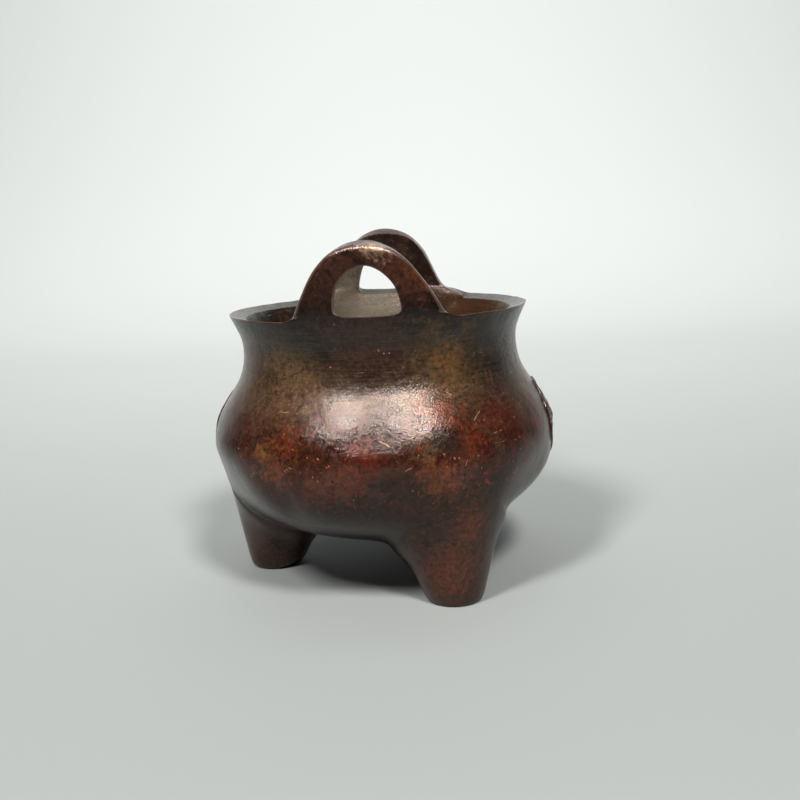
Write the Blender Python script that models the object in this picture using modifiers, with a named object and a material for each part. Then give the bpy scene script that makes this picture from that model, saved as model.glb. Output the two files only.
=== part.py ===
# Tripod censer: a small round bronze incense burner, cast in one piece.
# Metres, +Z up. The origin is on the vessel's axis, level with the soles of its three feet.
# A coarse cage is turned, its feet and handles are drawn out of it, and a subdivision surface
# that passes through every cage point gives the cast form. Two lobed medallions are joined on.

import math

import bmesh
import bpy
import numpy as np
from mathutils import Matrix, Vector
from mathutils.geometry import interpolate_bezier

# Mouth: the sharp outer edge of the lip, and the lip's flat top, which slopes into the bowl
RIM_RADIUS = 0.0400
RIM_HEIGHT = 0.0732
LIP_WIDTH = 0.0043
LIP_DROP = 0.0012
LIP_FLARE = 0.0022

# Vessel wall outside: waist of the neck, widest part of the belly, flat underside
NECK_RADIUS = 0.0370
NECK_HEIGHT = 0.0628
BELLY_RADIUS = 0.0462
BELLY_HEIGHT = 0.0382
BASE_HEIGHT = 0.0116
NECK_SWEEP = 0.0100
SHOULDER_SWEEP = 0.0112
KEEL_SWEEP = 0.0200
BASE_SWEEP = 0.0215

# Wall thickness at each of those places
NECK_WALL = 0.0034
BELLY_WALL = 0.0038
BASE_WALL = 0.0042

# Feet: where each stands round the vessel, its sole, and the footprint of its root on the belly
FOOT_ANGLES = (math.radians(-57.5), math.radians(58.5), math.radians(174.5))
FOOT_CIRCLE_RADIUS = 0.0331
SOLE_RADIUS = 0.0075
SOLE_ROUNDING = 0.0010
FOOT_ROOT_SETBACK = 0.0003
FOOT_ROOT_LENGTH = 0.0294
FOOT_ROOT_HALF_WIDTH = 0.0175
FOOT_ROOT_DROP = 0.0010
FOOT_FLARE = 0.45
FOOT_RINGS = (0.84, 0.66, 0.44, 0.20)

# Loop handles, which rise out of the lip at +Y and -Y. A pair of sizes is for the back handle and the
# front one, a pair in a pair is a place across and above the lip, and sweeps round each curve off.
HANDLE_FACINGS = (math.radians(90.0), math.radians(270.0))
HANDLE_HEIGHTS = (0.0933, 0.0919)
FLANK_HALF_WIDTHS = (0.0164, 0.0163)
HANDLE_SPREADS = (0.0235, 0.0208)
HANDLE_SPREAD_LIFTS = (0.0006, 0.0002)
FEET_OF_HANDLES = ((0.0192, 0.0016), (0.0177, 0.0012))
FLANK_LIFT = 0.0038
FLANK_LEAN = (-0.0035, 0.0072)
CREST_SWEEPS = (0.0092, 0.0080)
LOOP_HEIGHTS = (0.0876, 0.0862)
LOOP_SILL_LIFTS = (0.0016, 0.0011)
LOOP_CORNER = (0.0066, 0.0003)
LOOP_FOOT = (0.0080, 0.0029)
LOOP_SIDE = (0.0079, 0.0045)
LOOP_SIDE_SWEEP = 0.0036
LOOP_TOP_SWEEP = 0.0041

# Each crest slopes to one side, by how far its front and back edges drop, and only near the top: a
# higher turn keeps the slope nearer to it. Both handles lean a little to one side.
HANDLE_TOP_FALLS = ((0.0, 0.0012), (0.0014, 0.0))
HANDLE_TOP_TURN = 6
HANDLE_LEAN = -0.0007

# Medallions on the belly at +X and -X
MEDALLION_FACINGS = (0.0, math.radians(172.5))
MEDALLION_HEIGHT = 0.0415
MEDALLION_RADIUS = 0.0105
MEDALLION_LOBES = 8
MEDALLION_LOBE_DEPTH = 0.0011
MEDALLION_BORDER_WIDTH = 0.0010
MEDALLION_BORDER_RISE = 0.0005
MEDALLION_GROUND_DEPTH = 0.0004
MEDALLION_DRAFT = 0.2
MEDALLION_FLOWER_HEIGHT = 0.0008
MEDALLION_ROOT = 0.0012
MEDALLION_CLEARANCE = 0.0030
MEDALLION_SIDES = 32

# The flower in a medallion, from its petals' tips inwards: each ring's share of the way in from the
# lobed outline, and its share of the flower's height; its boss fills the middle
FLOWER_RINGS = ((0.22, 0.2), (0.36, 1.0), (0.60, 0.7), (0.72, 0.0))
FLOWER_BOSS = 0.78

# Cage: columns round the vessel, and rows on each stretch of wall
COLUMNS = 24
LIP_ROWS = 3
SHOULDER_ROWS = 5
UNDER_ROWS = 8
BOWL_LIP_STEPS = 2
BOWL_SHOULDER_STEPS = 4
BOWL_UNDER_STEPS = 4
FOOT_GRID = 2
ARCH_SPANS = 3
HANDLE_SQUEEZE = math.radians(3.5)
SURFACE_LEVELS = 1
SETTLING_ROUNDS = 12
LIP_ROW = LIP_ROWS + SHOULDER_ROWS + UNDER_ROWS
PROFILE_STEPS = 60

BRONZE_COLOUR = (0.085, 0.040, 0.026, 1.0)
BRONZE_ROUGHNESS = 0.36
BRONZE_METALLIC = 0.55


def bezier(start, start_sweep, end_sweep, end, spans):
    """Points along one curved stretch, from sweeps measured off its two ends."""
    return interpolate_bezier(start, start + start_sweep, end + end_sweep, end, spans + 1)


def outer_wall(lip_rows, shoulder_rows, under_rows):
    """Radius and height down the outside, from the lip's edge to the middle of the underside."""
    rim = Vector((RIM_RADIUS, 0.0, RIM_HEIGHT))
    neck = Vector((NECK_RADIUS, 0.0, NECK_HEIGHT))
    belly = Vector((BELLY_RADIUS, 0.0, BELLY_HEIGHT))
    base = Vector((0.0, 0.0, BASE_HEIGHT))
    lip_fall = (RIM_HEIGHT - NECK_HEIGHT) / 2
    lip = bezier(rim, Vector((-LIP_FLARE, 0.0, -lip_fall)), Vector((0.0, 0.0, lip_fall)), neck, lip_rows)
    shoulder = bezier(neck, Vector((0.0, 0.0, -NECK_SWEEP)), Vector((0.0, 0.0, SHOULDER_SWEEP)), belly,
                      shoulder_rows)
    under = bezier(belly, Vector((0.0, 0.0, -KEEL_SWEEP)), Vector((BASE_SWEEP, 0.0, 0.0)), base, under_rows)
    return lip[:-1] + shoulder[:-1] + under


def inner_wall():
    """Radius and height down the inside, from the lip's inner edge to the middle of the floor."""
    lip = Vector((RIM_RADIUS - LIP_WIDTH, 0.0, RIM_HEIGHT - LIP_DROP))
    neck = Vector((NECK_RADIUS - NECK_WALL, 0.0, NECK_HEIGHT))
    belly = Vector((BELLY_RADIUS - BELLY_WALL, 0.0, BELLY_HEIGHT))
    floor = Vector((0.0, 0.0, BASE_HEIGHT + BASE_WALL))
    lip_fall = (lip.z - NECK_HEIGHT) / 2
    upper = bezier(lip, Vector((-LIP_FLARE, 0.0, -lip_fall)), Vector((0.0, 0.0, lip_fall)), neck,
                   BOWL_LIP_STEPS)
    shoulder = bezier(neck, Vector((0.0, 0.0, -NECK_SWEEP)), Vector((0.0, 0.0, SHOULDER_SWEEP)), belly,
                      BOWL_SHOULDER_STEPS)
    keel = KEEL_SWEEP * (belly.z - floor.z) / (BELLY_HEIGHT - BASE_HEIGHT)
    under = bezier(belly, Vector((0.0, 0.0, -keel)), Vector((BASE_SWEEP, 0.0, 0.0)), floor, BOWL_UNDER_STEPS)
    return upper[:-1] + shoulder[:-1] + under


def on_cylinder(x, z, radius, facing):
    """A point of a handle: x across the handle, z up, at one distance from the vessel's axis."""
    return Matrix.Rotation(facing, 3, "Z") @ Vector((math.sqrt(radius**2 - x**2), x, z))


def turned_cage(bm):
    """Turn the wall's section round the axis; return the cage points by row and column."""
    section = list(reversed(outer_wall(LIP_ROWS, SHOULDER_ROWS, UNDER_ROWS))) + inner_wall()
    points = [bm.verts.new(point) for point in section]
    edges = [bm.edges.new(pair) for pair in zip(points, points[1:])]
    bmesh.ops.spin(bm, geom=points + edges, axis=(0, 0, 1), cent=(0, 0, 0), angle=math.tau,
                   steps=COLUMNS, use_merge=True)
    bmesh.ops.remove_doubles(bm, verts=bm.verts[:], dist=1e-6)
    bmesh.ops.recalc_face_normals(bm, faces=bm.faces[:])
    cage = {}
    for vert in bm.verts:
        place = Vector((vert.co.to_2d().length, 0.0, vert.co.z))
        row = min(range(len(section)), key=lambda index: (section[index] - place).length)
        column = round(math.atan2(vert.co.y, vert.co.x) / math.tau * COLUMNS) % COLUMNS
        cage[row, column] = vert
    return cage


def squeeze_towards_handles(cage):
    """Draw the columns of the neck and lip towards the handles, so that the handles' legs fit them."""
    for (row, column), vert in cage.items():
        above_neck = (vert.co.z - NECK_HEIGHT) / (RIM_HEIGHT - NECK_HEIGHT)
        if above_neck > 0 and row > 0:
            angle = math.tau * column / COLUMNS
            turn = HANDLE_SQUEEZE * math.sin(2 * angle) * min(above_neck, 1.0)
            vert.co = Matrix.Rotation(turn, 3, "Z") @ vert.co


def arch_stations(facing, foot, flank_half_width, crest_sweep, crest_height, top_falls, loop_height):
    """Sections along one handle, from leg to leg: outer edge front and back, loop back and front."""
    flank = Vector((flank_half_width, 0.0, RIM_HEIGHT + FLANK_LIFT))
    crest = Vector((0.0, 0.0, crest_height))
    lean = Vector((FLANK_LEAN[0], 0.0, FLANK_LEAN[1]))
    outline = bezier(flank, lean, Vector((crest_sweep, 0.0, 0.0)), crest, ARCH_SPANS)
    loop_side = Vector((LOOP_SIDE[0], 0.0, RIM_HEIGHT + LOOP_SIDE[1]))
    loop_top = Vector((0.0, 0.0, loop_height))
    loop = bezier(loop_side, Vector((0.0, 0.0, LOOP_SIDE_SWEEP)), Vector((LOOP_TOP_SWEEP, 0.0, 0.0)),
                  loop_top, ARCH_SPANS)
    outline.insert(0, Vector((foot[0], 0.0, RIM_HEIGHT + foot[1])))
    loop.insert(0, Vector((LOOP_FOOT[0], 0.0, RIM_HEIGHT + LOOP_FOOT[1])))
    half = []
    for outer, inner in zip(outline, loop):
        inwards = (inner - outer).normalized()
        front, back = (outer + inwards * abs(inwards.z)**HANDLE_TOP_TURN * fall for fall in top_falls)
        half.append((front, back, inner, inner.copy()))
    mirrored = [[Vector((-point.x, 0.0, point.z)) for point in station] for station in reversed(half[:-1])]
    stations = half + mirrored
    for station in stations:
        for point in station:
            rise = (point.z - RIM_HEIGHT) / (crest_height - RIM_HEIGHT)
            point.x += HANDLE_LEAN * (1 - (1 - rise)**2)
    radii = (RIM_RADIUS, RIM_RADIUS - LIP_WIDTH, RIM_RADIUS - LIP_WIDTH, RIM_RADIUS)
    return [[on_cylinder(point.x, point.z, radius, facing) for point, radius in zip(station, radii)]
            for station in stations]


def raise_handle(bm, cage, facing, sill_lift, spread, spread_lift, *arch_sizes):
    """Draw one handle out of the lip's top; return its edge loops in order from leg to leg."""
    middle = round(facing / math.tau * COLUMNS)

    def lip_points(offset, x, lift):
        """Set the lip's two points in one column, x across the handle and lifted above the lip."""
        front = cage[LIP_ROW, (middle + offset) % COLUMNS]
        back = cage[LIP_ROW + 1, (middle + offset) % COLUMNS]
        front.co = on_cylinder(x, RIM_HEIGHT + lift, RIM_RADIUS, facing)
        back.co = on_cylinder(x, RIM_HEIGHT + lift - LIP_DROP, RIM_RADIUS - LIP_WIDTH, facing)
        return front, back

    foot_in = lip_points(2, spread, spread_lift)
    corner_in = lip_points(1, LOOP_CORNER[0], sill_lift + LOOP_CORNER[1])
    sill = lip_points(0, 0.0, sill_lift)
    corner_out = lip_points(-1, -LOOP_CORNER[0], sill_lift + LOOP_CORNER[1])
    foot_out = lip_points(-2, -spread, spread_lift)

    start = next(face for face in foot_in[0].link_faces
                 if set(face.verts) == set(foot_in + corner_in))
    end = next(face for face in foot_out[0].link_faces
               if set(face.verts) == set(foot_out + corner_out))
    corners = (foot_in[0], foot_in[1], corner_in[1], corner_in[0])
    order = [corners.index(vert) for vert in start.verts]
    loops = [[corner] for corner in corners]
    face = start
    for station in arch_stations(facing, *arch_sizes):
        face = bmesh.ops.extrude_discrete_faces(bm, faces=[face])["faces"][0]
        for vert, corner in zip(face.verts, order):
            vert.co = station[corner]
            loops[corner].append(vert)
    ends = face.edges[:] + end.edges[:]
    bmesh.ops.delete(bm, geom=[face, end], context="FACES_ONLY")
    bmesh.ops.bridge_loops(bm, edges=ends)
    for loop, last in zip(loops, (foot_out[0], foot_out[1], corner_out[1], corner_out[0])):
        loop.append(last)
    loops[2].append(sill[1])
    loops[3].append(sill[0])
    return loops


def square_ring(size):
    """Steps down and across from the middle of a grid, once round a square, outermost point first."""
    side = range(-size, size)
    ring = ([(-size, step) for step in side] + [(step, size) for step in side]
            + [(size, -step) for step in side] + [(-step, -size) for step in side])
    start = ring.index((-size, 0)) if size else 0
    return ring[start:] + ring[:start] or [(0, 0)]


def foot_outline(share, around):
    """A point on a foot's side, as if the foot stood at +X: share 0 on the floor, 1 at its root."""
    reach = FOOT_ROOT_LENGTH / 2
    centre = BELLY_RADIUS - FOOT_ROOT_SETBACK - reach
    plan = Vector((centre + reach * math.cos(around), FOOT_ROOT_HALF_WIDTH * math.sin(around)))
    wall = outer_wall(1, 1, PROFILE_STEPS)[2:]
    height = float(np.interp(plan.length, [point.x for point in reversed(wall)],
                             [point.z for point in reversed(wall)]))
    sole = Vector((FOOT_CIRCLE_RADIUS + SOLE_RADIUS * math.cos(around), SOLE_RADIUS * math.sin(around)))
    inward = (1 - math.cos(around)) / 2
    flare = FOOT_FLARE * (1 - (1 - inward)**4)
    place = sole.lerp(plan, share * (1 - flare) + share**3 * flare).to_3d()
    place.z = (height - FOOT_ROOT_DROP * inward) * share
    return place


def foot_sections(count):
    """The foot's sections from its root to its sole, each a list of points round the foot."""
    rounds = [math.tau * step / count for step in range(count)]
    sections = [[foot_outline(share, around) for around in rounds] for share in (1.0,) + FOOT_RINGS]
    for height, inset in ((SOLE_ROUNDING, 0.0), (0.0, SOLE_ROUNDING)):
        reach = SOLE_RADIUS - inset
        sections.append([Vector((FOOT_CIRCLE_RADIUS + reach * math.cos(around), reach * math.sin(around),
                                 height)) for around in rounds])
    return sections


def draw_out_foot(bm, cage, top_row, angle):
    """Draw one tapering foot down from the underside; return the ring of points round its sole."""
    column = round(angle / math.tau * COLUMNS)
    grid = {}
    for size in range(FOOT_GRID + 1):
        ring = square_ring(size)
        for step, (down, across) in enumerate(ring):
            vert = cage[top_row - FOOT_GRID - down, (column + across) % COLUMNS]
            grid[vert] = (size / FOOT_GRID, step / len(ring))
    patch = list({face for vert, (reach, _) in grid.items() if reach < 1 for face in vert.link_faces})
    turn = Matrix.Rotation(angle, 3, "Z")
    sides = 8 * FOOT_GRID
    sections = foot_sections(sides)
    for number, section in enumerate(sections):
        if number:
            roles = {tuple(vert.co): role for vert, role in grid.items()}
            grown = bmesh.ops.extrude_face_region(bm, geom=patch)["geom"]
            bmesh.ops.delete(bm, geom=patch, context="FACES")
            patch = [item for item in grown if isinstance(item, bmesh.types.BMFace)]
            grid = {item: roles[tuple(item.co)] for item in grown if isinstance(item, bmesh.types.BMVert)}
        middle = sum(section, Vector()) / sides
        for vert, (reach, around) in grid.items():
            if number or reach == 1:
                vert.co = turn @ middle.lerp(section[round(around * sides)], reach)
    sole = [(around, vert) for vert, (reach, around) in grid.items() if reach == 1]
    return [vert for around, vert in sorted(sole, key=lambda item: item[0])]


def crease(bm, points):
    """Keep the closed edge loop through these points sharp."""
    layer = bm.edges.layers.float.get("crease_edge") or bm.edges.layers.float.new("crease_edge")
    for pair in zip(points, points[1:] + points[:1]):
        bm.edges.get(pair)[layer] = 1.0


def settle(body):
    """Move the cage until the smooth surface passes through the points that the cage was drawn with."""
    targets = [vert.co.copy() for vert in body.data.vertices]
    for _ in range(SETTLING_ROUNDS):
        surface = body.evaluated_get(bpy.context.evaluated_depsgraph_get()).data
        misses = [target - surface.vertices[index].co for index, target in enumerate(targets)]
        for vert, miss in zip(body.data.vertices, misses):
            vert.co += miss
        body.data.update()
        body.update_tag()
        bpy.context.view_layer.update()


def make_vessel(collection):
    """The bowl with its feet and loop handles, as one smooth closed surface."""
    bm = bmesh.new()
    cage = turned_cage(bm)
    squeeze_towards_handles(cage)
    handles = [raise_handle(bm, cage, *sizes)
               for sizes in zip(HANDLE_FACINGS, LOOP_SILL_LIFTS, HANDLE_SPREADS, HANDLE_SPREAD_LIFTS,
                                FEET_OF_HANDLES, FLANK_HALF_WIDTHS, CREST_SWEEPS,
                                HANDLE_HEIGHTS, HANDLE_TOP_FALLS, LOOP_HEIGHTS)]
    soles = [draw_out_foot(bm, cage, UNDER_ROWS - 1, angle) for angle in FOOT_ANGLES]

    quarter = COLUMNS // 4
    for edge in (0, 1):
        row = LIP_ROW + edge
        left = [cage[row, column] for column in range(quarter + 3, 3 * quarter - 2)]
        right = [cage[row, column % COLUMNS] for column in range(3 * quarter + 3, 5 * quarter - 2)]
        crease(bm, handles[0][edge][::-1] + left + handles[1][edge][::-1] + right)
    for handle in handles:
        crease(bm, handle[2])
        crease(bm, handle[3])
    for sole in soles:
        crease(bm, sole)

    mesh = bpy.data.meshes.new("censer")
    bm.to_mesh(mesh)
    bm.free()
    mesh.shade_smooth()
    body = bpy.data.objects.new("censer", mesh)
    collection.objects.link(body)
    surface = body.modifiers.new("cast form", "SUBSURF")
    surface.levels = SURFACE_LEVELS
    surface.render_levels = SURFACE_LEVELS
    settle(body)
    return body


def on_belly(across, up, rise, facing):
    """A point of a medallion, laid on the curve of the belly and raised off it."""
    curve = outer_wall(PROFILE_STEPS, PROFILE_STEPS, PROFILE_STEPS)[::-1]
    heights = np.array([point.z for point in curve])
    radii = np.array([point.x for point in curve])
    height = MEDALLION_HEIGHT + up
    slope = float(np.interp(height, heights, np.gradient(radii, heights)))
    normal = Vector((1.0, 0.0, -slope)).normalized()
    place = Vector((float(np.interp(height, heights, radii)), 0.0, height)) + normal * rise
    return Matrix.Rotation(facing + across / BELLY_RADIUS, 3, "Z") @ place


def medallion_edge(around, inset):
    """How far the lobed outline lies from the middle, in one direction."""
    lobe = abs(math.sin(MEDALLION_LOBES / 2 * around))
    return MEDALLION_RADIUS - MEDALLION_LOBE_DEPTH * (1 - lobe) - inset


def lobed_body(collection, name, facing, rings):
    """A closed body from lobed rings, each with its inset, its height and the flower's share of it."""
    bm = bmesh.new()
    loop = bmesh.ops.create_circle(bm, segments=MEDALLION_SIDES, radius=MEDALLION_RADIUS)["verts"]
    edges = bm.edges[:]
    for number, (inset, rise, flower) in enumerate(rings):
        if number:
            grown = bmesh.ops.extrude_edge_only(bm, edges=edges)["geom"]
            loop = [item for item in grown if isinstance(item, bmesh.types.BMVert)]
            edges = [item for item in grown if isinstance(item, bmesh.types.BMEdge)]
        for vert in loop:
            around = math.atan2(vert.co.y, vert.co.x)
            reach = medallion_edge(around, inset)
            lift = rise + flower * abs(math.cos(MEDALLION_LOBES / 2 * around))
            vert.co = Vector((reach * math.cos(around), reach * math.sin(around), lift))
    bmesh.ops.contextual_create(bm, geom=edges)
    bmesh.ops.contextual_create(bm, geom=[edge for edge in bm.edges if edge.is_boundary])
    bmesh.ops.poke(bm, faces=[face for face in bm.faces if len(face.verts) > 4])
    for vert in bm.verts:
        vert.co = on_belly(vert.co.x, vert.co.y, vert.co.z, facing)
    bmesh.ops.recalc_face_normals(bm, faces=bm.faces[:])
    mesh = bpy.data.meshes.new(name)
    bm.to_mesh(mesh)
    bm.free()
    body = bpy.data.objects.new(name, mesh)
    body.display_type = "WIRE"
    body.hide_render = True
    collection.objects.link(body)
    return body


def add_medallion(vessel, collection, name, facing):
    """A low lobed pad is joined to the belly, then sunk to leave a border round an open flower."""
    pad = ((0.0, -MEDALLION_ROOT, 0.0),
           (0.0, MEDALLION_BORDER_RISE, 0.0))
    flower = MEDALLION_FLOWER_HEIGHT
    ground = -MEDALLION_GROUND_DEPTH
    die = [(MEDALLION_BORDER_WIDTH, MEDALLION_CLEARANCE, 0.0),
           (MEDALLION_BORDER_WIDTH * (1 + MEDALLION_DRAFT), ground, 0.0)]
    die += [(MEDALLION_RADIUS * share, ground, flower * height) for share, height in FLOWER_RINGS]
    die.append((MEDALLION_RADIUS * FLOWER_BOSS, ground + flower, 0.0))
    for operation, rings in (("UNION", pad), ("DIFFERENCE", die)):
        change = vessel.modifiers.new(f"{name} {operation.lower()}", "BOOLEAN")
        change.operation = operation
        change.object = lobed_body(collection, f"{name}_{operation.lower()}", facing, rings)


def bronze():
    """Brown patina over bronze."""
    material = bpy.data.materials.new("patinated_bronze")
    material.use_nodes = True
    shader = material.node_tree.nodes["Principled BSDF"]
    shader.inputs["Base Color"].default_value = BRONZE_COLOUR
    shader.inputs["Roughness"].default_value = BRONZE_ROUGHNESS
    shader.inputs["Metallic"].default_value = BRONZE_METALLIC
    return material


for leftover in list(bpy.data.objects):
    bpy.data.objects.remove(leftover)

censer_parts = bpy.data.collections.new("tripod_censer")
bpy.context.scene.collection.children.link(censer_parts)
guides = bpy.data.collections.new("guides")
bpy.context.scene.collection.children.link(guides)

vessel = make_vessel(censer_parts)
for number, side in enumerate(MEDALLION_FACINGS):
    add_medallion(vessel, guides, f"medallion_{number + 1}", side)
vessel.data.materials.append(bronze())
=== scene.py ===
import math

import bmesh
import bpy
import numpy as np
from mathutils import Matrix, Vector, noise
from mathutils.geometry import interpolate_bezier
from mathutils.kdtree import KDTree


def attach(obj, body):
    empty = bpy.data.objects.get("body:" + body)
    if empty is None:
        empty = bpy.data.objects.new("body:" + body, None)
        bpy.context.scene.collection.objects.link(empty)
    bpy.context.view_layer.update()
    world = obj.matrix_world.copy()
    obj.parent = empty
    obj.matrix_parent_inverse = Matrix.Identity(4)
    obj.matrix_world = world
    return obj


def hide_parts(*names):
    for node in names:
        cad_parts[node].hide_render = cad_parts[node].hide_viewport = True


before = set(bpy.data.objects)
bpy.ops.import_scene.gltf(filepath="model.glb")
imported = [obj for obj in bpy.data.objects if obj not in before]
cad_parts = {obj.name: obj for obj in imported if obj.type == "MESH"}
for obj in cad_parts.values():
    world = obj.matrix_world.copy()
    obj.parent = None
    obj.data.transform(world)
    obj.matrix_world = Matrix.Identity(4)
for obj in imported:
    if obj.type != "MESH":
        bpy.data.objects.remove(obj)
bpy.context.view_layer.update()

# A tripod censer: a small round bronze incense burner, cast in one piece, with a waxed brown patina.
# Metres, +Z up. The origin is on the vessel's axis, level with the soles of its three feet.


# Casting
# The bowl with its flared lip, two loop handles and three tapering feet is one bronze casting.
# A coarse cage is turned round the axis, its feet and handles are drawn out of it, and a
# subdivision surface that passes through every cage point gives the cast form.

# Mouth: the sharp outer edge of the lip, and the lip's flat top, which slopes into the bowl
RIM_RADIUS = 0.0400
RIM_HEIGHT = 0.0732
LIP_WIDTH = 0.0043
LIP_DROP = 0.0012
LIP_FLARE = 0.0022

# Vessel wall outside: waist of the neck, widest part of the belly, flat underside
NECK_RADIUS = 0.0370
NECK_HEIGHT = 0.0628
BELLY_RADIUS = 0.0462
BELLY_HEIGHT = 0.0382
BASE_HEIGHT = 0.0116
NECK_SWEEP = 0.0100
SHOULDER_SWEEP = 0.0112
KEEL_SWEEP = 0.0200
BASE_SWEEP = 0.0215

# Wall thickness at each of those places
NECK_WALL = 0.0034
BELLY_WALL = 0.0038
BASE_WALL = 0.0042

# Feet: where each stands round the vessel, its sole, and the footprint of its root on the belly
FOOT_ANGLES = (math.radians(-57.5), math.radians(58.5), math.radians(174.5))
FOOT_CIRCLE_RADIUS = 0.0331
SOLE_RADIUS = 0.0075
SOLE_ROUNDING = 0.0010
FOOT_ROOT_SETBACK = 0.0003
FOOT_ROOT_LENGTH = 0.0294
FOOT_ROOT_HALF_WIDTH = 0.0175
FOOT_ROOT_DROP = 0.0010
FOOT_FLARE = 0.45
FOOT_RINGS = (0.84, 0.66, 0.44, 0.20)

# Loop handles, which rise out of the lip at +Y and -Y. A pair of sizes is for the back handle and the
# front one, a pair in a pair is a place across and above the lip, and sweeps round each curve off.
HANDLE_FACINGS = (math.radians(90.0), math.radians(270.0))
HANDLE_HEIGHTS = (0.0933, 0.0919)
FLANK_HALF_WIDTHS = (0.0164, 0.0163)
HANDLE_SPREADS = (0.0235, 0.0208)
HANDLE_SPREAD_LIFTS = (0.0006, 0.0002)
FEET_OF_HANDLES = ((0.0192, 0.0016), (0.0177, 0.0012))
FLANK_LIFT = 0.0038
FLANK_LEAN = (-0.0035, 0.0072)
CREST_SWEEPS = (0.0092, 0.0080)
LOOP_HEIGHTS = (0.0876, 0.0862)
LOOP_SILL_LIFTS = (0.0016, 0.0011)
LOOP_CORNER = (0.0066, 0.0003)
LOOP_FOOT = (0.0080, 0.0029)
LOOP_SIDE = (0.0079, 0.0045)
LOOP_SIDE_SWEEP = 0.0036
LOOP_TOP_SWEEP = 0.0041

# Each crest slopes to one side, by how far its front and back edges drop, and only near the top: a
# higher turn keeps the slope nearer to it. Both handles lean a little to one side.
HANDLE_TOP_FALLS = ((0.0, 0.0012), (0.0014, 0.0))
HANDLE_TOP_TURN = 6
HANDLE_LEAN = -0.0007

# Cage: columns round the vessel, and rows on each stretch of wall
COLUMNS = 24
LIP_ROWS = 3
SHOULDER_ROWS = 5
UNDER_ROWS = 8
BOWL_LIP_ROWS = 2
BOWL_SHOULDER_ROWS = 4
BOWL_UNDER_ROWS = 4
FOOT_GRID = 2
ARCH_SPANS = 3
HANDLE_SQUEEZE = math.radians(3.5)
SURFACE_LEVELS = 3
SETTLING_ROUNDS = 12
LIP_ROW = LIP_ROWS + SHOULDER_ROWS + UNDER_ROWS
PROFILE_STEPS = 100

# The worn rounding of the cast edges; the handles' front edge is rubbed much rounder. An edge turns
# at least one angle to be rounded, and at least the other to count as rubbed.
HANDLE_SHARPNESS = 0.32
ARRIS_ROUNDING = 0.00032
ARRIS_SEGMENTS = 3
ARRIS_ANGLE = math.radians(35.0)
RUBBED_ANGLE = math.radians(20.0)


def bezier(start, start_sweep, end_sweep, end, spans):
    """Points along one curved stretch, from sweeps measured off its two ends."""
    return interpolate_bezier(start, start + start_sweep, end + end_sweep, end, spans + 1)


def outer_wall(lip_rows, shoulder_rows, under_rows):
    """Radius and height down the outside, from the lip's edge to the middle of the underside."""
    rim = Vector((RIM_RADIUS, 0.0, RIM_HEIGHT))
    neck = Vector((NECK_RADIUS, 0.0, NECK_HEIGHT))
    belly = Vector((BELLY_RADIUS, 0.0, BELLY_HEIGHT))
    base = Vector((0.0, 0.0, BASE_HEIGHT))
    lip_fall = (RIM_HEIGHT - NECK_HEIGHT) / 2
    lip = bezier(rim, Vector((-LIP_FLARE, 0.0, -lip_fall)), Vector((0.0, 0.0, lip_fall)), neck, lip_rows)
    shoulder = bezier(neck, Vector((0.0, 0.0, -NECK_SWEEP)), Vector((0.0, 0.0, SHOULDER_SWEEP)), belly,
                      shoulder_rows)
    under = bezier(belly, Vector((0.0, 0.0, -KEEL_SWEEP)), Vector((BASE_SWEEP, 0.0, 0.0)), base, under_rows)
    return lip[:-1] + shoulder[:-1] + under


def inner_wall():
    """Radius and height down the inside, from the lip's inner edge to the middle of the floor."""
    lip = Vector((RIM_RADIUS - LIP_WIDTH, 0.0, RIM_HEIGHT - LIP_DROP))
    neck = Vector((NECK_RADIUS - NECK_WALL, 0.0, NECK_HEIGHT))
    belly = Vector((BELLY_RADIUS - BELLY_WALL, 0.0, BELLY_HEIGHT))
    floor = Vector((0.0, 0.0, BASE_HEIGHT + BASE_WALL))
    lip_fall = (lip.z - NECK_HEIGHT) / 2
    upper = bezier(lip, Vector((-LIP_FLARE, 0.0, -lip_fall)), Vector((0.0, 0.0, lip_fall)), neck,
                   BOWL_LIP_ROWS)
    shoulder = bezier(neck, Vector((0.0, 0.0, -NECK_SWEEP)), Vector((0.0, 0.0, SHOULDER_SWEEP)), belly,
                      BOWL_SHOULDER_ROWS)
    keel = KEEL_SWEEP * (belly.z - floor.z) / (BELLY_HEIGHT - BASE_HEIGHT)
    under = bezier(belly, Vector((0.0, 0.0, -keel)), Vector((BASE_SWEEP, 0.0, 0.0)), floor, BOWL_UNDER_ROWS)
    return upper[:-1] + shoulder[:-1] + under


def on_cylinder(x, z, radius, facing):
    """A point of a handle: x across the handle, z up, at one distance from the vessel's axis."""
    return Matrix.Rotation(facing, 3, "Z") @ Vector((math.sqrt(radius**2 - x**2), x, z))


def turned_cage(bm):
    """Turn the wall's section round the axis; return the cage points by row and column."""
    section = list(reversed(outer_wall(LIP_ROWS, SHOULDER_ROWS, UNDER_ROWS))) + inner_wall()
    points = [bm.verts.new(point) for point in section]
    edges = [bm.edges.new(pair) for pair in zip(points, points[1:])]
    bmesh.ops.spin(bm, geom=points + edges, axis=(0, 0, 1), cent=(0, 0, 0), angle=math.tau,
                   steps=COLUMNS, use_merge=True)
    bmesh.ops.remove_doubles(bm, verts=bm.verts[:], dist=1e-6)
    bmesh.ops.recalc_face_normals(bm, faces=bm.faces[:])
    cage = {}
    for vert in bm.verts:
        place = Vector((vert.co.to_2d().length, 0.0, vert.co.z))
        row = min(range(len(section)), key=lambda index: (section[index] - place).length)
        column = round(math.atan2(vert.co.y, vert.co.x) / math.tau * COLUMNS) % COLUMNS
        cage[row, column] = vert
    return cage


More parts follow.
